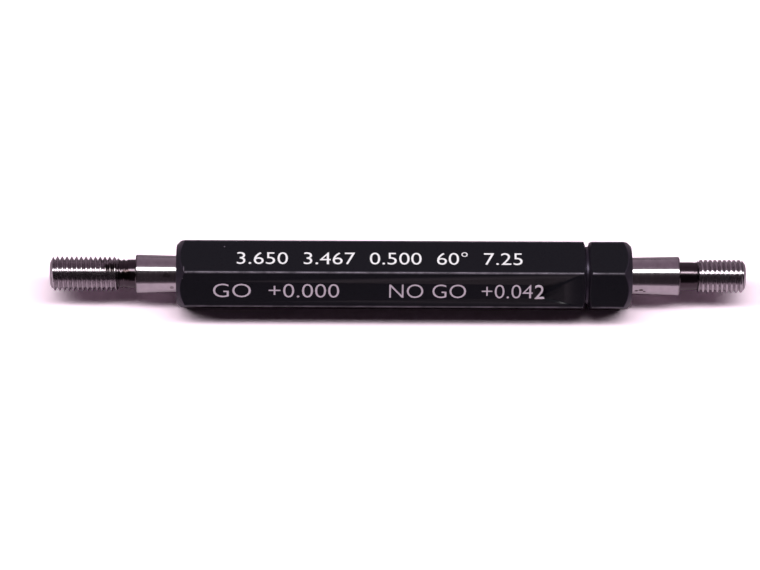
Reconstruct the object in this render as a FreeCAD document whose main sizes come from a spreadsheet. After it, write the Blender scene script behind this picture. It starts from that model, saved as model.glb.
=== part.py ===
import FreeCAD, Part
import os
import Sketcher

# A double-ended thread plug gauge. Its frame: +X runs along the gauge from the GO end to the
# NO GO end, +Z is up, and the origin is the middle of the flat that the handle lies on.
# Each member is built along its own +X, outwards from the handle's end face.

doc = FreeCAD.newDocument("thread_plug_gauge")
sizes = doc.addObject("Spreadsheet::Sheet", "Sizes")

driving_sizes = {
    # Handle: hexagon bar of aluminium
    "handle_length": (48.0, "length of the hexagon bar"),
    "flats_width": (7.0, "width across the flats"),
    "edge_radius": (0.1, "rounding of the six long edges"),
    "go_face_dia": (6.16, "flat left on the GO end by its turned chamfer"),
    "nogo_face_dia": (6.21, "flat left on the NO GO end by its turned chamfer"),
    "end_chamfer_angle": (45, "turned chamfers, from the axis"),
    "ring_from_end": (4.72, "marking ring: middle of the groove from the NO GO end face"),
    "ring_floor_dia": (6.16, "marking ring: diameter at the groove's floor"),
    "ring_floor_width": (0.28, "marking ring: width of the groove's floor"),
    "ring_flank_angle": (18, "marking ring: each flank, from square to the axis"),
    "cut_past": (0.5, "how far a cutting outline reaches past the surface it cuts"),
    # Taper fit of both members
    "taper_ratio": (24, "length in which the taper's diameter grows by 1"),
    "mouth_dia": (3.89, "taper diameter at the handle's end faces"),
    "shank_depth": (9.0, "how far a shank reaches into the handle"),
    "shoulder_chamfer": (0.08, "broken edge of a shank's outer shoulder"),
    "drift_hole_dia": (2.0, "cross hole for the drift that knocks a member out"),
    "drift_hole_lap": (0.4, "how far a shank's end shows in its drift hole"),
    "drift_hole_tilt": (30, "drift holes, turned up about the axis to their pair of flats"),
    "bore_past_drift": (0.1, "how far the taper bore runs on past its drift hole"),
    # Threads: the real section, with each turn as a ring, square to the axis
    "pitch": (0.5, "thread pitch of both members"),
    "flank_angle": (30, "thread flank, from square to the axis"),
    "go_pitch_dia": (3.325, "GO pitch diameter"),
    "nogo_pitch_dia": (3.367, "NO GO pitch diameter"),
    "go_major_dia": (3.65, "GO crests, full form"),
    "nogo_major_dia": (3.467, "NO GO crests, truncated"),
    "crest_past": (0.03, "how far a groove's outline reaches past the crests"),
    # Members outside the handle
    "go_shank_out": (4.3, "GO shank outside the handle"),
    "nogo_shank_out": (5.1, "NO GO shank outside the handle"),
    "go_neck_length": (1.8, "GO neck, from the shank to the thread"),
    "nogo_neck_length": (1.9, "NO GO neck, from the shank to the thread"),
    "go_neck_dia": (3.06, "GO neck"),
    "nogo_neck_dia": (2.97, "NO GO neck"),
    "go_thread_length": (7.25, "GO thread, with its end chamfer"),
    "nogo_thread_length": (5.1, "NO GO thread, with its end chamfer"),
    "go_tip_dia": (2.35, "GO end face"),
    "nogo_tip_dia": (2.46, "NO GO end face"),
    "go_tip_chamfer": (0.34, "length of the GO end chamfer"),
    "nogo_tip_chamfer": (0.38, "length of the NO GO end chamfer"),
}
for row, (alias, (value, note)) in enumerate(driving_sizes.items(), start=1):
    sizes.set(f"A{row}", note)
    sizes.set(f"B{row}", str(value))
    sizes.setAlias(f"B{row}", alias)
doc.recompute()

# Formulas that several outlines share
corner_radius = "Sizes.flats_width / sqrt(3)"
cut_radius = f"{corner_radius} + Sizes.cut_past"
handle_end = "Sizes.handle_length / 2"
drift_depth = "Sizes.shank_depth - Sizes.drift_hole_lap + Sizes.drift_hole_dia / 2"


def new_body(name):
    body = doc.addObject("PartDesign::Body", name)
    body.Label = name
    return body


def origin_object(body, role):
    """The body's own origin plane or axis with this role."""
    return next(item for item in body.Origin.OriginFeatures if item.Role == role)


def new_sketch(body, name, plane):
    sketch = body.newObject("Sketcher::SketchObject", name)
    sketch.AttachmentSupport = [(origin_object(body, plane), "")]
    sketch.MapMode = "FlatFace"
    return sketch


def formula_value(formula):
    """The number that a formula over the sheet gives now, in mm."""
    result = sizes.evalExpression(formula)
    return float(getattr(result, "Value", result))


def hold_point(sketch, point, name, kind, formula):
    """Bind one coordinate of a point to a formula, or hold it on the sketch's axis at 0."""
    line, end = point
    if formula == "0":
        axis = -1 if kind == "DistanceY" else -2
        sketch.addConstraint(Sketcher.Constraint("PointOnObject", line, end, axis))
        return
    index = sketch.addConstraint(
        Sketcher.Constraint(kind, -1, 1, line, end, formula_value(formula)))
    sketch.renameConstraint(index, name)
    sketch.setExpression(f"Constraints.{name}", formula)


def draw_outline(sketch, corners):
    """A closed outline of straight lines. corners maps a name to its two coordinates' formulas."""
    points = [FreeCAD.Vector(formula_value(x), formula_value(y), 0) for x, y in corners.values()]
    count = len(points)
    first = sketch.GeometryCount
    for i in range(count):
        sketch.addGeometry(Part.LineSegment(points[i], points[(i + 1) % count]), False)
    for i in range(count):
        following = first + (i + 1) % count
        sketch.addConstraint(Sketcher.Constraint("Coincident", first + i, 2, following, 1))
    for i, (name, (x, y)) in enumerate(corners.items()):
        hold_point(sketch, (first + i, 1), f"{name}_x", "DistanceX", x)
        hold_point(sketch, (first + i, 1), f"{name}_y", "DistanceY", y)


def turned(body, kind, name, corners):
    """Revolve an outline about the body's X axis, to add (Revolution) or to cut (Groove)."""
    sketch = new_sketch(body, f"{name}_outline", "XZ_Plane")
    draw_outline(sketch, corners)
    feature = body.newObject(f"PartDesign::{kind}", name)
    feature.Profile = sketch
    feature.ReferenceAxis = (origin_object(body, "X_Axis"), [""])
    feature.Angle = 360
    return feature


def make_handle():
    body = new_body("handle")
    hexagon_bar(body)
    for side, end in ((-1, "go"), (1, "nogo")):
        end_chamfer(body, side, end)
        taper_bore(body, side, end)
    marking_ring(body)
    drift_holes(body)
    body.setExpression("Placement.Base.z", "Sizes.flats_width / 2")
    return body


def hexagon_bar(body):
    """The bar lies on a flat, so two of its corners are level with the axis."""
    sketch = new_sketch(body, "hexagon", "YZ_Plane")
    half_flat = f"{corner_radius} / 2"
    half_width = "Sizes.flats_width / 2"
    draw_outline(sketch, {
        "right": (corner_radius, "0"),
        "right_top": (half_flat, half_width),
        "left_top": (f"-({half_flat})", half_width),
        "left": (f"-({corner_radius})", "0"),
        "left_low": (f"-({half_flat})", f"-({half_width})"),
        "right_low": (half_flat, f"-({half_width})"),
    })
    bar = body.newObject("PartDesign::Pad", "hexagon_bar")
    bar.Profile = sketch
    bar.setExpression("Length", "Sizes.handle_length")
    bar.Midplane = True
    doc.recompute()
    long_edges = [f"Edge{i}" for i, edge in enumerate(bar.Shape.Edges, start=1)
                  if abs(edge.tangentAt(edge.FirstParameter).x) > 0.99]
    rounding = body.newObject("PartDesign::Fillet", "long_edges")
    rounding.Base = (bar, long_edges)
    rounding.setExpression("Radius", "Sizes.edge_radius")


def end_chamfer(body, side, end):
    face_radius = f"Sizes.{end}_face_dia / 2"
    slope_length = f"({cut_radius} - {face_radius}) / tan(Sizes.end_chamfer_angle)"
    turned(body, "Groove", f"{end}_end_chamfer", {
        "face": (f"{side} * {handle_end}", face_radius),
        "outside": (f"{side} * {handle_end}", cut_radius),
        "back": (f"{side} * ({handle_end} - {slope_length})", cut_radius),
    })


def taper_bore(body, side, end):
    """The bore that holds a member: a slow taper, a little deeper than its drift hole."""
    depth = f"({drift_depth} + Sizes.drift_hole_dia / 2 + Sizes.bore_past_drift)"
    bottom_radius = f"(Sizes.mouth_dia / 2 - {depth} / Sizes.taper_ratio / 2)"
    turned(body, "Groove", f"{end}_taper_bore", {
        "mouth_centre": (f"{side} * {handle_end}", "0"),
        "mouth": (f"{side} * {handle_end}", "Sizes.mouth_dia / 2"),
        "bottom": (f"{side} * ({handle_end} - {depth})", bottom_radius),
        "bottom_centre": (f"{side} * ({handle_end} - {depth})", "0"),
    })


def marking_ring(body):
    """The groove round the handle that tells the NO GO end from the GO end."""
    middle = f"({handle_end} - Sizes.ring_from_end)"
    floor_radius = "Sizes.ring_floor_dia / 2"
    floor_half = "Sizes.ring_floor_width / 2"
    top_half = f"({floor_half} + ({cut_radius} - {floor_radius}) * tan(Sizes.ring_flank_angle))"
    turned(body, "Groove", "marking_ring", {
        "floor_left": (f"{middle} - {floor_half}", floor_radius),
        "floor_right": (f"{middle} + {floor_half}", floor_radius),
        "top_right": (f"{middle} + {top_half}", cut_radius),
        "top_left": (f"{middle} - {top_half}", cut_radius),
    })


def drift_holes(body):
    """Cross holes where the shanks end: a drift driven in there pushes a member out."""
    sketch = new_sketch(body, "drift_hole_circles", "XZ_Plane")
    sketch.setExpression("AttachmentOffset.Rotation.Angle", "Sizes.drift_hole_tilt")
    sketch.AttachmentOffset = FreeCAD.Placement(
        FreeCAD.Vector(), FreeCAD.Rotation(FreeCAD.Vector(1, 0, 0), 1))
    radius = formula_value("Sizes.drift_hole_dia / 2")
    for circle, (side, end) in enumerate(((-1, "go"), (1, "nogo"))):
        place = f"{side} * ({handle_end} - ({drift_depth}))"
        centre = FreeCAD.Vector(formula_value(place), 0, 0)
        sketch.addGeometry(Part.Circle(centre, FreeCAD.Vector(0, 0, 1), radius), False)
        hold_point(sketch, (circle, 3), f"{end}_x", "DistanceX", place)
        hold_point(sketch, (circle, 3), f"{end}_y", "DistanceY", "0")
        index = sketch.addConstraint(Sketcher.Constraint("Diameter", circle, 2 * radius))
        sketch.renameConstraint(index, f"{end}_dia")
        sketch.setExpression(f"Constraints.{end}_dia", "Sizes.drift_hole_dia")
    holes = body.newObject("PartDesign::Pocket", "drift_holes")
    holes.Profile = sketch
    holes.Type = "ThroughAll"
    holes.Midplane = True


def make_member(name, end):
    """A plug ground from one piece: taper shank, neck and threaded end."""
    body = new_body(name)
    shoulder = f"Sizes.{end}_shank_out"
    neck_end = f"({shoulder} + Sizes.{end}_neck_length)"
    tip = f"({neck_end} + Sizes.{end}_thread_length)"
    plug_blank(body, name, end, shoulder, neck_end, tip)
    thread_rings(body, name, end, neck_end)
    body.setExpression("Placement.Base.z", "Sizes.flats_width / 2")
    return body


def taper_radius(place):
    """The taper's radius at a place along a member."""
    return f"(Sizes.mouth_dia / 2 + ({place}) / Sizes.taper_ratio / 2)"


def plug_blank(body, name, end, shoulder, neck_end, tip):
    inner = "-Sizes.shank_depth"
    shoulder_edge = f"{shoulder} - Sizes.shoulder_chamfer"
    neck_radius = f"Sizes.{end}_neck_dia / 2"
    major_radius = f"Sizes.{end}_major_dia / 2"
    turned(body, "Revolution", f"{name}_blank", {
        "inner_middle": (inner, "0"),
        "inner_edge": (inner, taper_radius(inner)),
        "shoulder_edge": (shoulder_edge, taper_radius(shoulder_edge)),
        "shoulder_face": (shoulder, f"{taper_radius(shoulder)} - Sizes.shoulder_chamfer"),
        "neck_start": (shoulder, neck_radius),
        "neck_end": (neck_end, neck_radius),
        "thread_start": (neck_end, major_radius),
        "chamfer_start": (f"{tip} - Sizes.{end}_tip_chamfer", major_radius),
        "tip_edge": (tip, f"Sizes.{end}_tip_dia / 2"),
        "tip_middle": (tip, "0"),
    })


def thread_rings(body, name, end, neck_end):
    """The thread's V section, cut once at the neck and repeated at each pitch up to the tip."""
    pitch_radius = f"Sizes.{end}_pitch_dia / 2"
    outer_radius = f"(Sizes.{end}_major_dia / 2 + Sizes.crest_past)"
    root_depth = "Sizes.pitch / 4 / tan(Sizes.flank_angle)"
    outer_half = (f"(Sizes.pitch / 4 + ({outer_radius} - {pitch_radius})"
                  " * tan(Sizes.flank_angle))")
    groove = turned(body, "Groove", f"{name}_groove", {
        "root": (neck_end, f"{pitch_radius} - {root_depth}"),
        "right": (f"{neck_end} + {outer_half}", outer_radius),
        "left": (f"{neck_end} - {outer_half}", outer_radius),
    })
    full_turns = f"floor((Sizes.{end}_thread_length - Sizes.{end}_tip_chamfer) / Sizes.pitch)"
    rings = body.newObject("PartDesign::LinearPattern", f"{name}_thread")
    rings.Originals = [groove]
    rings.Direction = (origin_object(body, "X_Axis"), [""])
    rings.setExpression("Occurrences", f"{full_turns} + 1")
    rings.setExpression("Length", f"{full_turns} * Sizes.pitch")
    body.Tip = rings


def check_document():
    """Stop on any object that failed to build, because recompute() doesn't raise."""
    for item in doc.Objects:
        if "Invalid" in item.State or "Error" in item.State:
            raise RuntimeError(f"{item.Name} failed: {item.State}")


def write_solids(bodies):
    os.makedirs("parts", exist_ok=True)
    for body in bodies:
        shape = body.Shape
        if shape.isNull() or not shape.isValid() or len(shape.Solids) != 1:
            raise RuntimeError(f"{body.Label} isn't one valid solid")
        shape.exportStep(f"parts/{body.Label}.step")
        box = shape.optimalBoundingBox()
        print(f"{body.Label}: {shape.Volume:.2f} mm3, x {box.XMin:.2f} to {box.XMax:.2f},"
              f" z {box.ZMin:.2f} to {box.ZMax:.2f}, {len(shape.Faces)} faces")


handle = make_handle()
go_member = make_member("go_member", "go")
nogo_member = make_member("nogo_member", "nogo")
# The GO member is turned half round the handle's upright axis, to point along -X
go_member.Placement.Rotation = FreeCAD.Rotation(FreeCAD.Vector(0, 0, 1), 180)
go_member.setExpression("Placement.Base.x", f"-({handle_end})")
nogo_member.setExpression("Placement.Base.x", handle_end)
doc.recompute()
check_document()
write_solids([handle, go_member, nogo_member])
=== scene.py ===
import bpy
import bmesh
from math import atan, atan2, cos, hypot, pi, radians, sin, tan
from mathutils import Matrix, Vector


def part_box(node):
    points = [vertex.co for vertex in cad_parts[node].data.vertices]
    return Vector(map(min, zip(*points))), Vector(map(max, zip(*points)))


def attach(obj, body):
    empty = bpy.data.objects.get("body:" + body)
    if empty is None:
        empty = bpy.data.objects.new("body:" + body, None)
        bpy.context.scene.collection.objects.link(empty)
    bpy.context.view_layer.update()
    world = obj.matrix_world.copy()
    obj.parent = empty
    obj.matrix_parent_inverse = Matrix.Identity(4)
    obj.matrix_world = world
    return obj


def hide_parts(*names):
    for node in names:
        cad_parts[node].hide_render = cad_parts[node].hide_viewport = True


# The looks of a double-ended thread plug gauge: an anodised hexagon handle with a ground GO
# member on the left (-X) and a NO GO member on the right (+X).
# Lengths are in millimetres here, and each mesh is brought to metres when it is finished.

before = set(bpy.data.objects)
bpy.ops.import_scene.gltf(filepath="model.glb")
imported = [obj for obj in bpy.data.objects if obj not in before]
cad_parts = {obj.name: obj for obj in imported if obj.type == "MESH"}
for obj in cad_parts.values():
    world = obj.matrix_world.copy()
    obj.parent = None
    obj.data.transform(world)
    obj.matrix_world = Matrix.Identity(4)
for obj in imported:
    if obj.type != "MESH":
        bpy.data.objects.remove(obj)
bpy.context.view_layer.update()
mm = 0.001


def boxInMm(node):
    low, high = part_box(node)
    return low / mm, high / mm


handleLow, handleHigh = boxInMm("handle")
handleEnd = handleHigh.x
axisHeight = (handleLow.z + handleHigh.z) / 2


# Colours are written as sRGB hex and used as linear light
def toLinear(hexColour):
    channels = [int(hexColour[i:i + 2], 16) / 255 for i in (1, 3, 5)]
    return [c / 12.92 if c <= 0.04045 else ((c + 0.055) / 1.055) ** 2.4 for c in channels] + [1.0]


# Adds one node: settings name its attributes or its sockets, links name a socket and its source
def addNode(tree, kind, settings={}, links={}):
    node = tree.nodes.new(kind)
    for name, value in settings.items():
        if isinstance(name, int) or name in node.inputs:
            node.inputs[name].default_value = value
        else:
            setattr(node, name, value)
    for name, source in links.items():
        tree.links.new(source, node.inputs[name])
    return node


def newMaterial(name):
    material = bpy.data.materials.new(name)
    material.use_nodes = True
    material.node_tree.nodes.clear()
    return material, material.node_tree


# Breaks the inner corners of an open outline of (x, radius) points with small curves
def breakCorners(outline, size, steps):
    points = [outline[0]]
    for before, corner, after in zip(outline, outline[1:], outline[2:]):
        toBefore = Vector(before) - Vector(corner)
        toAfter = Vector(after) - Vector(corner)
        reach = min(size, 0.45 * toBefore.length, 0.45 * toAfter.length)
        start = Vector(corner) + toBefore.normalized() * reach
        end = Vector(corner) + toAfter.normalized() * reach
        for step in range(steps + 1):
            t = step / steps
            point = start * (1 - t) ** 2 + Vector(corner) * 2 * t * (1 - t) + end * t ** 2
            points.append(tuple(point))
    points.append(outline[-1])
    return points


def pointAt(x, radius, angle):
    return Vector((x, radius * cos(angle), radius * sin(angle) + axisHeight))


def ringOfVerts(mesh, points):
    return [mesh.verts.new(point) for point in points]


def joinRings(mesh, first, second):
    count = len(first)
    for i in range(count):
        j = (i + 1) % count
        mesh.faces.new((first[i], first[j], second[j], second[i]))


# A closed solid from rings of points, with a flat face over each end
def solidFromRings(rings):
    mesh = bmesh.new()
    made = [ringOfVerts(mesh, ring) for ring in rings]
    for first, second in zip(made, made[1:]):
        joinRings(mesh, first, second)
    mesh.faces.new(made[0])
    mesh.faces.new(made[-1])
    bmesh.ops.recalc_face_normals(mesh, faces=mesh.faces)
    return mesh


def objectFromMesh(name, mesh, materials=()):
    data = bpy.data.meshes.new(name)
    mesh.to_mesh(data)
    mesh.free()
    piece = bpy.data.objects.new(name, data)
    for material in materials:
        data.materials.append(material)
    bpy.context.scene.collection.objects.link(piece)
    return piece


def applyModifiers(piece):
    graph = bpy.context.evaluated_depsgraph_get()
    finished = bpy.data.meshes.new_from_object(piece.evaluated_get(graph))
    piece.modifiers.clear()
    old = piece.data
    piece.data = finished
    bpy.data.meshes.remove(old)


def cutAway(piece, cutter):
    cut = piece.modifiers.new("cut", "BOOLEAN")
    cut.operation = "DIFFERENCE"
    cut.solver = "EXACT"
    cut.material_mode = "TRANSFER"
    cut.object = cutter
    applyModifiers(piece)
    bpy.data.objects.remove(cutter)


# True for what is a plane on the real piece: an end face, a flat of the hexagon or a mark's floor
def liesFlat(face):
    out = (face.center - Vector((0, 0, axisHeight))).dot(face.normal)
    return abs(face.normal.x) > 0.9999 or abs(out - (handleHigh.z - axisHeight)) < 0.05


# Shades a mesh smooth up to its real edges, brings it to metres and puts it on the body
def finishPiece(piece, smoothAngle, node):
    for face in piece.data.polygons:
        face.use_smooth = not liesFlat(face)
    piece.data.set_sharp_from_angle(angle=radians(smoothAngle))
    weighting = piece.modifiers.new("normals", "WEIGHTED_NORMAL")
    weighting.keep_sharp = True
    applyModifiers(piece)
    piece.data.transform(Matrix.Scale(mm, 4))
    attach(piece, "root")
    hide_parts(node)


# Object coordinates in millimetres, so that every pattern is scaled by a real size
def surfaceInMm(tree):
    place = addNode(tree, "ShaderNodeTexCoord")
    return addNode(tree, "ShaderNodeVectorMath", {"operation": "SCALE", "Scale": 1 / mm},
                   {0: place.outputs["Object"]}).outputs[0]


# 1 inside a spot and 0 outside it, with a ragged edge
def spotMask(tree, surface, spot):
    x, y, z, width, height, ragged = spot
    noise = addNode(tree, "ShaderNodeTexNoise", {"Scale": 2.2 / height, "Detail": 3.0},
                    {"Vector": surface})
    shift = addNode(tree, "ShaderNodeVectorMath", {"operation": "SUBTRACT", 1: (x, y, z)},
                    {0: surface})
    shape = addNode(tree, "ShaderNodeVectorMath",
                    {"operation": "MULTIPLY", 1: (2 / width, 2 / height, 2 / height)},
                    {0: shift.outputs[0]})
    away = addNode(tree, "ShaderNodeVectorMath", {"operation": "LENGTH"}, {0: shape.outputs[0]})
    rough = addNode(tree, "ShaderNodeMath",
                    {"operation": "MULTIPLY_ADD", 1: ragged, 2: -ragged / 2},
                    {0: noise.outputs["Fac"]})
    edge = addNode(tree, "ShaderNodeMath", {"operation": "ADD"},
                   {0: away.outputs["Value"], 1: rough.outputs[0]})
    return addNode(tree, "ShaderNodeMapRange",
                   {"interpolation_type": "SMOOTHSTEP", "From Min": 0.7, "From Max": 1.15,
                    "To Min": 1.0, "To Max": 0.0},
                   {"Value": edge.outputs[0]}).outputs[0]


# The taper on which each member's shank seats in its bore
taper = {
    "mouth": 3.89,            # diameter at the handle's end face
    "ratio": 24,
    "depth": 9.0,             # how far a shank goes into the handle
    "startBreak": 0.12,       # chamfer on a shank's inner end
}

handle = {
    "edgeRadius": 0.1,
    "smoothAngle": 38,        # edges sharper than this stay sharp
    "flatSteps": 12,
    "edgeSteps": 6,
    "goFace": 6.16,           # diameters of the flat end faces
    "nogoFace": 6.21,
    "ringFromEnd": 4.72,      # marking ring: the groove that tells the NO GO end
    "ringFloor": 6.16,
    "ringFloorWidth": 0.28,
    "ringFlank": 18,
    "boreDepth": 10.7,
    "brokenEdge": 0.05,
    "driftHole": 2.0,         # cross holes where a drift knocks the members out
    "driftDepth": 9.6,
    "driftTilt": 30,
    "driftBreak": 0.06,
    "markDepth": 0.025,
    "marks": [                # words, x from, x to, flat, up the flat, height, boldness
        ("3.650  3.467  0.500  60°  7.25", -17.6, 12.4, 90, -0.19, 1.58, -0.003, "top"),
        ("GO  +0.000", -20.1, -6.85, 150, -0.12, 1.60, -0.008, "front"),
        ("NO GO  +0.042", -1.6, 14.7, 150, -0.12, 1.60, -0.008, "front"),
    ],
}


# The black anodised finish. The hexagon once round, as (angle, distance from the axis), with its
# rounded long edges, is made by hexagonSection further down

anodised = {
    "black": "#06070F",
    "bare": "#8F8894",        # aluminium where the anodising is worn through
    "turned": "#38323E",      # thin, glossier anodising on the turned faces
    "grain": 0.09,            # the real grain is about 0.02 mm, drawn coarser to show
    "ridgeFrom": 3.955,       # distance from the axis where the worn ridges begin
    "nicks": [                # x, y, z, width, height, raggedness
        (-18.92, 1.19, 7.0, 0.16, 0.16, 0.5),
        (-23.29, -2.45, 6.40, 0.16, 0.18, 0.5),
        (-22.95, -2.05, 6.95, 0.42, 0.16, 0.6),
        (-23.16, -1.62, 6.99, 0.10, 0.70, 0.6),
    ],
}


# 1 on a cone round the axis, which has this radius at its middle and this rise away from there
def turnedCone(tree, x, reach, middle, radius, rise):
    shift = addNode(tree, "ShaderNodeMath", {"operation": "SUBTRACT", 1: middle}, {0: x})
    away = addNode(tree, "ShaderNodeMath", {"operation": "ABSOLUTE"}, {0: shift.outputs[0]})
    cone = addNode(tree, "ShaderNodeMath", {"operation": "MULTIPLY_ADD", 1: rise, 2: radius},
                   {0: away.outputs[0]})
    inside = addNode(tree, "ShaderNodeMath", {"operation": "SUBTRACT"},
                     {0: reach, 1: cone.outputs[0]})
    return addNode(tree, "ShaderNodeMapRange", {"From Min": -0.06, "From Max": -0.02},
                   {"Value": inside.outputs[0]}).outputs[0]


# Black anodised aluminium: drawn bar, turned at the ends, then etched and dyed. The flats are a
# satin black, and the long edges are worn to thin bright lines
def blackAnodisedAluminium():
    material, tree = newMaterial("blackAnodisedAluminium")
    surface = surfaceInMm(tree)
    grain = addNode(tree, "ShaderNodeTexNoise",
                    {"Scale": 1 / anodised["grain"], "Detail": 3.0, "Roughness": 0.6},
                    {"Vector": surface})
    patches = addNode(tree, "ShaderNodeTexNoise", {"Scale": 0.9, "Detail": 4.0},
                      {"Vector": surface})
    # Distance from the gauge's axis, which is greatest on the long edges
    section = addNode(tree, "ShaderNodeVectorMath",
                      {"operation": "MULTIPLY_ADD", 1: (0, 1, 1), 2: (0, 0, -axisHeight)},
                      {0: surface})
    reach = addNode(tree, "ShaderNodeVectorMath", {"operation": "LENGTH"},
                    {0: section.outputs[0]}).outputs["Value"]
    ridge = addNode(tree, "ShaderNodeMapRange",
                    {"interpolation_type": "SMOOTHSTEP", "From Min": anodised["ridgeFrom"],
                     "From Max": anodised["ridgeFrom"] + 0.05},
                    {"Value": reach}).outputs[0]
    patchy = addNode(tree, "ShaderNodeMapRange",
                     {"From Min": 0.35, "From Max": 0.65, "To Min": 0.25, "To Max": 0.75},
                     {"Value": patches.outputs["Fac"]}).outputs[0]
    worn = addNode(tree, "ShaderNodeMath", {"operation": "MULTIPLY"},
                   {0: ridge, 1: patchy}).outputs[0]
    for nick in anodised["nicks"]:
        worn = addNode(tree, "ShaderNodeMath", {"operation": "MAXIMUM"},
                       {0: worn, 1: spotMask(tree, surface, nick)}).outputs[0]
    # The lathe's tool left two kinds of cone: the chamfers and the flanks of the marking ring
    split = addNode(tree, "ShaderNodeSeparateXYZ", {}, {0: surface})
    chamfers = turnedCone(tree, split.outputs["X"], reach, 0, handle["goFace"] / 2 + handleEnd, -1)
    flank = tan(radians(handle["ringFlank"]))
    flanks = turnedCone(tree, split.outputs["X"], reach, handleEnd - handle["ringFromEnd"],
                        (handle["ringFloor"] - handle["ringFloorWidth"] / flank) / 2, 1 / flank)
    turned = addNode(tree, "ShaderNodeMath", {"operation": "MAXIMUM"},
                     {0: chamfers, 1: flanks}).outputs[0]
    colour = addNode(tree, "ShaderNodeMix",
                     {"data_type": "RGBA", 6: toLinear(anodised["black"]),
                      7: toLinear(anodised["turned"])}, {0: turned}).outputs[2]
    colour = addNode(tree, "ShaderNodeMix", {"data_type": "RGBA", 7: toLinear(anodised["bare"])},
                     {0: worn, 6: colour}).outputs[2]
    dull = addNode(tree, "ShaderNodeMapRange",
                   {"From Min": 0.3, "From Max": 0.7, "To Min": 0.26, "To Max": 0.38},
                   {"Value": grain.outputs["Fac"]}).outputs[0]
    metal = addNode(tree, "ShaderNodeMath", {"operation": "MULTIPLY_ADD", 1: 0.6},
                    {0: turned, 2: worn}).outputs[0]
    bump = addNode(tree, "ShaderNodeBump", {"Strength": 0.12, "Distance": 0.004 * mm},
                   {"Height": grain.outputs["Fac"]})
    shader = addNode(tree, "ShaderNodeBsdfPrincipled", {"IOR": 1.38},
                     {"Base Color": colour, "Roughness": dull, "Metallic": metal,
                      "Normal": bump.outputs[0]})
    addNode(tree, "ShaderNodeOutputMaterial", {}, {"Surface": shader.outputs[0]})
    return material


# Colours of the marks per row, with painted light in them: the top row is painted lighter, as lit
# by the lamp overhead, and the front row is painted darker and pinker, as in shade, though all the
# marks are one colour
paintedLightMarkColours = {
    "top": "#F4F0F4",
    "front": "#D8C8D6",
}


# Laser-marked anodising: the dye is bleached out, which leaves a dry, pale, slightly uneven mark.
# Its colour is given per row and carries painted light: lighter for the lit top row, darker and
# pinker for the shaded front row
def laserMarkPaintedLight(name, hexColour):
    material, tree = newMaterial(name)
    surface = surfaceInMm(tree)
    mottle = addNode(tree, "ShaderNodeTexNoise", {"Scale": 9.0, "Detail": 3.0}, {"Vector": surface})
    tone = addNode(tree, "ShaderNodeMapRange",
                   {"From Min": 0.3, "From Max": 0.7, "To Min": 0.86, "To Max": 1.0},
                   {"Value": mottle.outputs["Fac"]})
    colour = addNode(tree, "ShaderNodeMix",
                     {"data_type": "RGBA", "blend_type": "MULTIPLY", 0: 1.0,
                      6: toLinear(hexColour)}, {7: tone.outputs[0]})
    shader = addNode(tree, "ShaderNodeBsdfPrincipled", {"Roughness": 0.7},
                     {"Base Color": colour.outputs[2]})
    addNode(tree, "ShaderNodeOutputMaterial", {}, {"Surface": shader.outputs[0]})
    return material


steel = {
    "bright": "#C4BEC2",
    "scale": "#544B50",       # dark hardening scale left in the necks
    "stain": "#2C1A12",
    "groundLine": 0.05,       # grinding lines are finer than 0.01 mm, drawn coarser to show
}


# Hardened tool steel, ground round its axis: bright with fine lines across its length, and
# darker in the neck, where the hardening scale was never ground off
def groundToolSteel(name, neck, stains):
    material, tree = newMaterial(name)
    surface = surfaceInMm(tree)
    along = addNode(tree, "ShaderNodeVectorMath",
                    {"operation": "MULTIPLY", 1: (1 / steel["groundLine"], 0.35, 0.35)},
                    {0: surface})
    lines = addNode(tree, "ShaderNodeTexNoise", {"Scale": 1.0, "Detail": 2.0, "Roughness": 0.6},
                    {"Vector": along.outputs[0]})
    cloud = addNode(tree, "ShaderNodeTexNoise", {"Scale": 1.3, "Detail": 4.0}, {"Vector": surface})
    split = addNode(tree, "ShaderNodeSeparateXYZ", {}, {0: surface})
    # 1 along the neck, easing to 0 in the shank and the thread
    middle = addNode(tree, "ShaderNodeMath", {"operation": "SUBTRACT", 1: (neck[0] + neck[1]) / 2},
                     {0: split.outputs["X"]})
    away = addNode(tree, "ShaderNodeMath", {"operation": "ABSOLUTE"}, {0: middle.outputs[0]})
    half = abs(neck[1] - neck[0]) / 2
    inNeck = addNode(tree, "ShaderNodeMapRange",
                     {"interpolation_type": "SMOOTHSTEP", "From Min": half - 0.02,
                      "From Max": half + 0.25, "To Min": 1.0, "To Max": 0.0},
                     {"Value": away.outputs[0]})
    colour = addNode(tree, "ShaderNodeMix",
                     {"data_type": "RGBA", 6: toLinear(steel["bright"]),
                      7: toLinear(steel["scale"])},
                     {0: inNeck.outputs[0]}).outputs[2]
    tone = addNode(tree, "ShaderNodeMapRange",
                   {"From Min": 0.3, "From Max": 0.7, "To Min": 0.9, "To Max": 1.06},
                   {"Value": cloud.outputs["Fac"]})
    colour = addNode(tree, "ShaderNodeMix",
                     {"data_type": "RGBA", "blend_type": "MULTIPLY", 0: 1.0},
                     {6: colour, 7: tone.outputs[0]}).outputs[2]
    for spot in stains:
        strength = addNode(tree, "ShaderNodeMath", {"operation": "MULTIPLY", 1: spot[6]},
                           {0: spotMask(tree, surface, spot[:6])})
        colour = addNode(tree, "ShaderNodeMix", {"data_type": "RGBA", 7: toLinear(steel["stain"])},
                         {0: strength.outputs[0], 6: colour}).outputs[2]
    roughness = addNode(tree, "ShaderNodeMapRange",
                        {"From Min": 0.3, "From Max": 0.7, "To Min": 0.10, "To Max": 0.18},
                        {"Value": lines.outputs["Fac"]})
    bump = addNode(tree, "ShaderNodeBump", {"Strength": 0.05, "Distance": 0.001 * mm},
                   {"Height": lines.outputs["Fac"]})
    shader = addNode(tree, "ShaderNodeBsdfPrincipled", {"Metallic": 1.0},
                     {"Base Color": colour, "Roughness": roughness.outputs[0],
                      "Normal": bump.outputs[0]})
    addNode(tree, "ShaderNodeOutputMaterial", {}, {"Surface": shader.outputs[0]})
    return material


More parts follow.
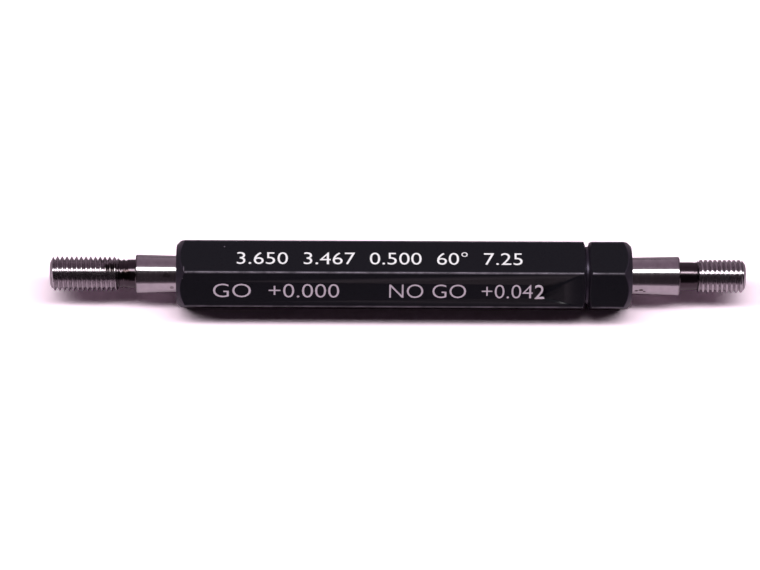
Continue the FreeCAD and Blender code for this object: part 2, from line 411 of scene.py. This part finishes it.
def hexagonSection():
    apothem = handleHigh.z - axisHeight
    radius = handle["edgeRadius"]
    halfTurn = atan((apothem - radius) * tan(radians(30)) / apothem)
    edgeCentre = (apothem - radius) / cos(radians(30))
    section = []
    for side in range(6):
        normal = radians(30 + 60 * side)
        for step in range(handle["flatSteps"] + 1):
            turn = halfTurn * (2 * step / handle["flatSteps"] - 1)
            section.append((normal + turn, apothem / cos(turn)))
        for step in range(1, handle["edgeSteps"]):
            swing = radians(60) * (step / handle["edgeSteps"] - 0.5)
            out = edgeCentre + radius * cos(swing)
            across = radius * sin(swing)
            section.append((normal + radians(30) + atan2(across, out), hypot(out, across)))
    return section


# Bore, end face, chamfer, flat, marking ring, flat, chamfer, end face and bore, at one place
# of the hexagon that is this far from the axis
def handleOutline(reach):
    goFace = handle["goFace"] / 2
    nogoFace = handle["nogoFace"] / 2
    mouth = taper["mouth"] / 2
    boreEnd = mouth - handle["boreDepth"] / taper["ratio"] / 2
    ring = handleEnd - handle["ringFromEnd"]
    floorHalf = handle["ringFloorWidth"] / 2
    floor = handle["ringFloor"] / 2
    topHalf = floorHalf + (reach - floor) * tan(radians(handle["ringFlank"]))
    outline = [
        (-handleEnd + handle["boreDepth"], boreEnd),
        (-handleEnd, mouth),
        (-handleEnd, goFace),
        (-handleEnd + (reach - goFace), reach),
        (ring - topHalf, reach),
        (ring - floorHalf, floor),
        (ring + floorHalf, floor),
        (ring + topHalf, reach),
        (handleEnd - (reach - nogoFace), reach),
        (handleEnd, nogoFace),
        (handleEnd, mouth),
        (handleEnd - handle["boreDepth"], boreEnd),
    ]
    return breakCorners(outline, handle["brokenEdge"], 3)


# The strips of a flat become one face, so that the flat is truly flat and takes the marks
def mergeFlats(mesh):
    mesh.normal_update()
    inside = [edge for edge in mesh.edges
              if len(edge.link_faces) == 2
              and abs(edge.link_faces[0].normal.x) < 1e-4
              and edge.link_faces[0].normal.dot(edge.link_faces[1].normal) > 0.99999
              and max(face.calc_area() for face in edge.link_faces) > 0.4]
    bmesh.ops.dissolve_edges(mesh, edges=inside, use_verts=True)


def driftHoleCutter(x):
    tilt = radians(handle["driftTilt"])
    apothem = handleHigh.z - axisHeight
    out = Vector((0, cos(tilt), sin(tilt)))
    side = Vector((0, -sin(tilt), cos(tilt)))
    radius = handle["driftHole"] / 2
    chamfer = handle["driftBreak"]
    past = 0.5
    centre = Vector((x, 0, axisHeight))
    outline = [(-apothem - past, radius + chamfer + past), (-apothem + chamfer, radius),
               (apothem - chamfer, radius), (apothem + past, radius + chamfer + past)]
    steps = 48
    rings = [[centre + out * along + (Vector((1, 0, 0)) * cos(turn) + side * sin(turn)) * wide
              for turn in (2 * pi * step / steps for step in range(steps))]
             for along, wide in outline]
    return objectFromMesh("driftHoleCutter", solidFromRings(rings))


# A row of letters as a solid that reaches a little below the flat and well above it
def markCutter(words, start, end, flat, across, height, bold, material):
    flatAngle = radians(flat)
    text = bpy.data.curves.new("marks", "FONT")
    text.body = words
    text.extrude = 0.1
    text.offset = bold
    text.resolution_u = 4
    holder = bpy.data.objects.new("marks", text)
    bpy.context.scene.collection.objects.link(holder)
    graph = bpy.context.evaluated_depsgraph_get()
    data = bpy.data.meshes.new_from_object(holder.evaluated_get(graph))
    bpy.data.objects.remove(holder)
    low = Vector((min(v.co[i] for v in data.vertices) for i in range(3)))
    high = Vector((max(v.co[i] for v in data.vertices) for i in range(3)))
    # Stretch to the row's real length and letter height
    data.transform(Matrix.Translation(-(low + high) / 2))
    data.transform(Matrix.Diagonal(((end - start) / (high.x - low.x), height / (high.y - low.y),
                                    1, 1)))
    normal = Vector((0, cos(flatAngle), sin(flatAngle)))
    upward = Vector((0, normal.z, -normal.y))
    apothem = handleHigh.z - axisHeight
    centre = Vector(((start + end) / 2, 0, axisHeight)) + upward * across
    centre += normal * (apothem - handle["markDepth"] + text.extrude)
    turn = Matrix((Vector((1, 0, 0)), upward, normal)).transposed().to_4x4()
    data.transform(Matrix.Translation(centre) @ turn)
    data.materials.clear()
    data.materials.append(material)
    cutter = bpy.data.objects.new("markCutter", data)
    bpy.context.scene.collection.objects.link(cutter)
    return cutter


def makeHandle():
    section = hexagonSection()
    outlines = [handleOutline(reach) for angle, reach in section]
    rings = [[pointAt(*outline[row], angle) for (angle, reach), outline in zip(section, outlines)]
             for row in range(len(outlines[0]))]
    mesh = solidFromRings(rings)
    mergeFlats(mesh)
    black = blackAnodisedAluminium()
    # Lit and shaded copies of one laser mark, one per row: painted light
    marks = {row: laserMarkPaintedLight(f"laserMarkPaintedLight{row.capitalize()}", paintedLightMarkColours[row]) for row in paintedLightMarkColours}
    piece = objectFromMesh("gaugeHandle", mesh, [black])
    for side in (-1, 1):
        cutAway(piece, driftHoleCutter(side * (handleEnd - handle["driftDepth"])))
    for *placing, row in handle["marks"]:
        cutAway(piece, markCutter(*placing, marks[row]))
    finishPiece(piece, handle["smoothAngle"], "handle")


makeHandle()
print("handle made")


goMember = {
    "node": "go_member",
    "side": -1,
    "shankOut": 4.3,
    "neckLength": 1.8,
    "neck": 3.06,
    "threadLength": 7.25,
    "pitchDia": 3.325,
    "major": 3.65,
    "tip": 2.35,
    "tipChamfer": 0.34,
    "tipBreak": 0.10,
    "crestFromTip": 0.222,    # a crest on the +Y side, from the tip
    "runOut": 1.2,            # how far the wheel's run-out goes on into the neck
    "runOutDepth": 0.10,      # and how deep it has scored the neck there
}

nogoMember = {
    "node": "nogo_member",
    "side": 1,
    "shankOut": 5.1,
    "neckLength": 1.9,
    "neck": 2.97,
    "threadLength": 5.1,
    "pitchDia": 3.367,
    "major": 3.467,
    "tip": 2.46,
    "tipChamfer": 0.38,
    "tipBreak": 0.10,
    "crestFromTip": 0.24,
    "runOut": 0.5,
    "runOutDepth": 0.05,
}

thread = {
    "pitch": 0.5,
    "flank": 30,
    "rootFlat": 0.015,        # the root's floor stands this far above the sharp V
    "softening": 0.012,       # how far the crest and root corners are eased
    "columns": 96,
    "flankSteps": 4,
    "startSlope": 0.12,       # length in which the thread rises from the neck
    "runOutFade": 0.4,        # length in which the run-out's grooves die away
    "blend": 0.006,           # eases the thread into the blank that it is cut from
    "shoulderBreak": 0.08,    # chamfer on the shoulder, and the rounded foot of the neck
    "shoulderFoot": 0.06,
    "brokenEdge": 0.03,
    "endFaceInset": 0.15,     # the end face starts this far inside the tip's chamfer
    "weld": 1e-4,             # points closer than this are one
    "smoothAngle": 50,        # edges sharper than this stay sharp
}


def smoothMin(a, b, size):
    mix = max(0.0, min(1.0, 0.5 + (b - a) / (2 * size)))
    return b * (1 - mix) + a * mix - size * mix * (1 - mix)


def smoothMax(a, b, size):
    return -smoothMin(-a, -b, size)


def taperRadius(place):
    return taper["mouth"] / 2 + place / taper["ratio"] / 2


# Radius of the full thread at a distance from the middle of a crest
def threadRadius(member, fromCrest):
    slope = tan(radians(thread["flank"]))
    sharpDepth = thread["pitch"] / 4 / slope
    flank = member["pitchDia"] / 2 + (thread["pitch"] / 4 - abs(fromCrest)) / slope
    root = member["pitchDia"] / 2 - sharpDepth + thread["rootFlat"]
    crested = smoothMin(flank, member["major"] / 2, thread["softening"])
    return smoothMax(crested, root, thread["softening"])


# Places along one pitch, from the middle of a crest, closest together where the section bends
def threadRows(member):
    slope = tan(radians(thread["flank"]))
    ease = 2 * thread["softening"] * slope
    crest = thread["pitch"] / 4 - (member["major"] - member["pitchDia"]) / 2 * slope
    root = thread["pitch"] / 2 - thread["rootFlat"] * slope
    half = [0, crest - ease, crest, crest + ease]
    steps = thread["flankSteps"]
    first, last = crest + ease, root - ease
    half += [first + (last - first) * step / steps for step in range(1, steps + 1)]
    half += [root, thread["pitch"] / 2]
    return sorted([-place for place in half[1:-1]] + half)


# The member before threading, along its own axis from the handle's end face outwards
def blankOutline(member):
    shoulder = member["shankOut"]
    neckEnd = shoulder + member["neckLength"]
    tip = neckEnd + member["threadLength"]
    neck = member["neck"] / 2
    major = member["major"] / 2
    start = -taper["depth"]
    foot = thread["shoulderFoot"]
    shank = breakCorners([
        (start, taperRadius(start) - taper["startBreak"]),
        (start + taper["startBreak"], taperRadius(start)),
        (shoulder - thread["shoulderBreak"], taperRadius(shoulder)),
        (shoulder, taperRadius(shoulder) - thread["shoulderBreak"]),
        (shoulder, neck + foot),
        (shoulder + foot, neck),
        (neckEnd, neck),
    ], thread["brokenEdge"], 3)[:-1]
    worked = breakCorners([
        (shoulder + foot, neck),
        (neckEnd, neck),
        (neckEnd + thread["startSlope"], major),
        (tip - member["tipChamfer"], major),
        (tip, member["tip"] / 2 + thread["brokenEdge"]),
        (tip, member["tip"] / 2 - thread["endFaceInset"]),
    ], member["tipBreak"], 5)
    return shank, worked, neckEnd, tip


def radiusOnOutline(outline, place):
    for (x0, r0), (x1, r1) in zip(outline, outline[1:]):
        if x0 <= place <= x1 and x1 > x0:
            return r0 + (r1 - r0) * (place - x0) / (x1 - x0)
    return outline[-1][1]


def memberPoint(member, distance, radius, angle):
    return pointAt(member["side"] * (handleEnd + distance), radius, angle)


# Rows of points that follow the helix, held back at both ends of the thread
def threadGrid(mesh, member, worked, neckEnd, tip):
    pitch = thread["pitch"]
    columns = thread["columns"]
    zoneStart = neckEnd - member["runOut"]
    firstCrest = tip - member["crestFromTip"]
    turnsBefore = int((firstCrest - zoneStart) / pitch) + 2
    turnsAfter = int((tip - firstCrest) / pitch) + 2
    grid = []
    for turn in range(-turnsBefore, turnsAfter + 1):
        for fromCrest in threadRows(member):
            line = []
            for column in range(columns):
                advance = member["side"] * pitch * column / columns
                along = firstCrest + turn * pitch + fromCrest + advance
                held = min(max(along, zoneStart), tip)
                # The section is read where the row really lies
                crestOffset = (held - firstCrest - advance) / pitch
                fromNearest = (crestOffset - round(crestOffset)) * pitch
                radius = smoothMin(threadRadius(member, fromNearest),
                                   radiusOnOutline(worked, held), thread["blend"])
                if held < neckEnd:
                    # In the run-out the wheel has only scored shallow grooves round the neck
                    fade = min(1, (held - zoneStart) / thread["runOutFade"])
                    groove = 0.5 - 0.5 * cos(2 * pi * fromNearest / pitch)
                    radius = member["neck"] / 2 - member["runOutDepth"] * fade * groove
                angle = 2 * pi * column / columns
                line.append(mesh.verts.new(memberPoint(member, held, radius, angle)))
            grid.append(line)
    return grid


# After one turn each row runs on into the row that lies one pitch further along
def joinThreadGrid(mesh, member, grid):
    columns = thread["columns"]
    perTurn = len(threadRows(member))
    for row in range(len(grid) - 1):
        for column in range(columns):
            if column < columns - 1:
                near, far = grid[row][column + 1], grid[row + 1][column + 1]
            else:
                shifted = row + member["side"] * perTurn
                if not 0 <= shifted < len(grid) - 1:
                    continue
                near, far = grid[shifted][0], grid[shifted + 1][0]
            mesh.faces.new((grid[row][column], near, far, grid[row + 1][column]))
    bmesh.ops.remove_doubles(mesh, verts=mesh.verts, dist=thread["weld"])
    bmesh.ops.dissolve_degenerate(mesh, edges=mesh.edges, dist=thread["weld"] / 10)


# Plain turned rings from one end of an outline to the other
def turnedRings(mesh, member, outline):
    columns = thread["columns"]
    rings = [ringOfVerts(mesh, [memberPoint(member, distance, radius, 2 * pi * column / columns)
                                for column in range(columns)])
             for distance, radius in outline]
    for first, second in zip(rings, rings[1:]):
        joinRings(mesh, first, second)
    return rings


def makeMember(name, member, stains):
    shank, worked, neckEnd, tip = blankOutline(member)
    zoneStart = neckEnd - member["runOut"]
    mesh = bmesh.new()
    joinThreadGrid(mesh, member, threadGrid(mesh, member, worked, neckEnd, tip))
    plain = [point for point in shank if point[0] < zoneStart - 0.02]
    shankRings = turnedRings(mesh, member, plain + [(zoneStart, member["neck"] / 2)])
    mesh.faces.new(shankRings[0])
    endFace = member["tip"] / 2 - thread["endFaceInset"]
    tipRings = turnedRings(mesh, member, [(tip, radiusOnOutline(worked, tip)), (tip, endFace)])
    mesh.faces.new(tipRings[-1])
    bmesh.ops.remove_doubles(mesh, verts=mesh.verts, dist=thread["weld"])
    bmesh.ops.recalc_face_normals(mesh, faces=mesh.faces)
    openEdges = sum(1 for edge in mesh.edges if len(edge.link_faces) != 2)
    print(f"{name}: {len(mesh.faces)} faces, {openEdges} open edges")
    neckSpan = [member["side"] * (handleEnd + place) for place in (member["shankOut"], neckEnd)]
    material = groundToolSteel(f"groundToolSteel{name[0].upper()}{name[1:]}", neckSpan, stains)
    piece = objectFromMesh(name, mesh, [material])
    finishPiece(piece, thread["smoothAngle"], member["node"])


# Stains: x, y, z, width, height, raggedness, strength
goStains = [
    (-24.48, -1.97, 3.81, 0.5, 0.5, 1.2, 0.5),
    (-25.0, -1.2, 5.1, 0.9, 0.5, 1.6, 0.45),
    (-30.2, -1.60, 3.0, 0.8, 0.6, 1.4, 0.7),
    (-30.9, -0.14, 5.2, 1.6, 1.3, 1.6, 0.7),
    (-29.3, -0.9, 4.7, 1.3, 1.2, 1.6, 0.6),
    (-31.6, 0.9, 5.1, 1.8, 1.0, 1.8, 0.5),
]
nogoStains = [
    (24.5, -1.96, 3.63, 0.45, 0.26, 1.2, 0.95),
    (25.0, -1.95, 3.75, 0.5, 0.30, 1.4, 0.95),
    (25.35, -1.96, 3.55, 0.3, 0.22, 1.2, 0.9),
]

makeMember("goPlug", goMember, goStains)
print("GO member made")
makeMember("nogoPlug", nogoMember, nogoStains)
print("NO GO member made")


studio = {
    "floor": "#FFEAF8",
    "floorGain": 1.4,         # the floor's own whiteness, so that the lit floor is white
    "floorInMetal": "#D0BCCA",
    "floorEnds": {"From Min": 70, "From Max": 130, "To Min": 1.0, "To Max": 0.15},
    "floorBehind": {"From Min": 1, "From Max": 6, "To Min": 1.0, "To Max": 0.45},
    "lampHeight": 500,
    "lampLength": 1600,
    "lamps": [                # name, front and back edge in degrees from straight up, radiance
        ("overheadStrip", -12.0, 8.0, 3.0),
        ("overheadTube", -6.4, 1.6, 8.0),
    ],
}


def makeFloor():
    size = 4000
    mesh = bmesh.new()
    mesh.faces.new([mesh.verts.new((x * size, y * size, 0)) for x, y in
                    ((-1, -1), (1, -1), (1, 1), (-1, 1))])
    material, tree = newMaterial("paleStudioFloor")
    rays = addNode(tree, "ShaderNodeLightPath")
    plain = toLinear(studio["floor"])
    bright = [c * studio["floorGain"] for c in plain[:3]] + [1.0]
    # In the metal's reflections the pale floor is dimmer behind the gauge and ends in a dark room
    surface = surfaceInMm(tree)
    away = addNode(tree, "ShaderNodeVectorMath", {"operation": "LENGTH"}, {0: surface})
    near = addNode(tree, "ShaderNodeMapRange", studio["floorEnds"],
                   {"Value": away.outputs["Value"]})
    split = addNode(tree, "ShaderNodeSeparateXYZ", {}, {0: surface})
    front = addNode(tree, "ShaderNodeMapRange", studio["floorBehind"],
                    {"Value": split.outputs["Y"]})
    level = addNode(tree, "ShaderNodeMath", {"operation": "MULTIPLY"},
                    {0: near.outputs[0], 1: front.outputs[0]})
    dim = addNode(tree, "ShaderNodeMix",
                  {"data_type": "RGBA", "blend_type": "MULTIPLY", 0: 1.0,
                   6: toLinear(studio["floorInMetal"])}, {7: level.outputs[0]})
    colour = addNode(tree, "ShaderNodeMix", {"data_type": "RGBA", 7: bright},
                     {0: rays.outputs["Is Camera Ray"], 6: dim.outputs[2]})
    shader = addNode(tree, "ShaderNodeBsdfDiffuse", {}, {"Color": colour.outputs[2]})
    addNode(tree, "ShaderNodeOutputMaterial", {}, {"Surface": shader.outputs[0]})
    piece = objectFromMesh("studioFloor", mesh, [material])
    piece.data.transform(Matrix.Scale(mm, 4))


# A long lamp over the gauge, as wide as these two angles make it
def makeLamp(name, frontAngle, backAngle, radiance, height):
    front = height * tan(radians(frontAngle))
    back = height * tan(radians(backAngle))
    data = bpy.data.lights.new(name, "AREA")
    data.shape = "RECTANGLE"
    data.size = studio["lampLength"] * mm
    data.size_y = (back - front) * mm
    data.energy = radiance * pi * data.size * data.size_y
    lamp = bpy.data.objects.new(name, data)
    lamp.location = Vector((0, (front + back) / 2, height)) * mm
    bpy.context.scene.collection.objects.link(lamp)


def makeWorld():
    world = bpy.data.worlds.new("studioRoom")
    bpy.context.scene.world = world
    world.use_nodes = True
    tree = world.node_tree
    tree.nodes.clear()
    direction = addNode(tree, "ShaderNodeTexCoord")
    split = addNode(tree, "ShaderNodeSeparateXYZ", {}, {0: direction.outputs["Generated"]})
    front = addNode(tree, "ShaderNodeMath", {"operation": "MULTIPLY", 1: -1.0},
                    {0: split.outputs["Y"]})
    # Angle round the gauge's axis: 0 in front at the horizon, a half turn behind
    angle = addNode(tree, "ShaderNodeMath", {"operation": "ARCTAN2"},
                    {0: split.outputs["Z"], 1: front.outputs[0]})
    part = addNode(tree, "ShaderNodeMath", {"operation": "DIVIDE", 1: pi}, {0: angle.outputs[0]})
    ramp = addNode(tree, "ShaderNodeValToRGB", {}, {0: part.outputs[0]})
    stops = [(0.0, "#8E7C8A"), (0.05, "#3A3238"), (0.30, "#332B31"), (0.40, "#40363D"),
             (0.55, "#8A7786"), (0.75, "#8A7786"), (1.0, "#A08E9C")]
    while len(ramp.color_ramp.elements) < len(stops):
        ramp.color_ramp.elements.new(0.5)
    for element, (position, hexColour) in zip(ramp.color_ramp.elements, stops):
        element.position = position
        element.color = toLinear(hexColour)
    # The room is dark to the sides, and gives little light to plain surfaces
    side = addNode(tree, "ShaderNodeMath", {"operation": "ABSOLUTE"}, {0: split.outputs["X"]})
    level = addNode(tree, "ShaderNodeMapRange",
                    {"From Min": 0.5, "From Max": 0.85, "To Min": 1.0, "To Max": 0.3},
                    {"Value": side.outputs[0]})
    rays = addNode(tree, "ShaderNodeLightPath")
    spared = addNode(tree, "ShaderNodeMath", {"operation": "MULTIPLY_ADD", 1: -0.62, 2: 1.0},
                     {0: rays.outputs["Is Diffuse Ray"]})
    strength = addNode(tree, "ShaderNodeMath", {"operation": "MULTIPLY"},
                       {0: level.outputs[0], 1: spared.outputs[0]})
    room = addNode(tree, "ShaderNodeBackground", {},
                   {"Color": ramp.outputs[0], "Strength": strength.outputs[0]})
    white = addNode(tree, "ShaderNodeBackground", {"Color": (1, 1, 1, 1), "Strength": 1.0})
    seen = addNode(tree, "ShaderNodeMixShader", {},
                   {0: rays.outputs["Is Camera Ray"], 1: room.outputs[0], 2: white.outputs[0]})
    addNode(tree, "ShaderNodeOutputWorld", {}, {"Surface": seen.outputs[0]})


makeFloor()
for step, lamp in enumerate(studio["lamps"]):
    makeLamp(*lamp, studio["lampHeight"] - step)
makeWorld()
bpy.context.scene.view_settings.view_transform = "Standard"

view = {
    "elevation": 57.0,
    "turn": 1.56,             # the gauge's turn about the vertical, as the camera sees it
    "roll": -1.55,
    "distance": 448.6,
    "lens": 201.0,
    "aimRight": -2.529,       # the view's centre stands this far off the handle's middle
    "aimUp": -1.055,
}


def makeCamera():
    elevation, turn, roll = (radians(view[key]) for key in ("elevation", "turn", "roll"))
    back = Vector((-cos(elevation) * sin(turn), -cos(elevation) * cos(turn), sin(elevation)))
    level = Vector((cos(turn), -sin(turn), 0))
    rise = back.cross(level)
    right = level * cos(roll) - rise * sin(roll)
    up = level * sin(roll) + rise * cos(roll)
    data = bpy.data.cameras.new("studioCamera")
    data.sensor_width = 36
    data.lens = view["lens"]
    data.clip_start = 0.01
    data.clip_end = 20
    camera = bpy.data.objects.new("studioCamera", data)
    place = Vector((0, 0, axisHeight)) + back * view["distance"]
    place += right * view["aimRight"] + up * view["aimUp"]
    turnMatrix = Matrix((right, up, back)).transposed().to_4x4()
    camera.matrix_world = Matrix.Translation(place * mm) @ turnMatrix
    bpy.context.scene.collection.objects.link(camera)
    bpy.context.scene.camera = camera


makeCamera()
print("floor, light and camera made")
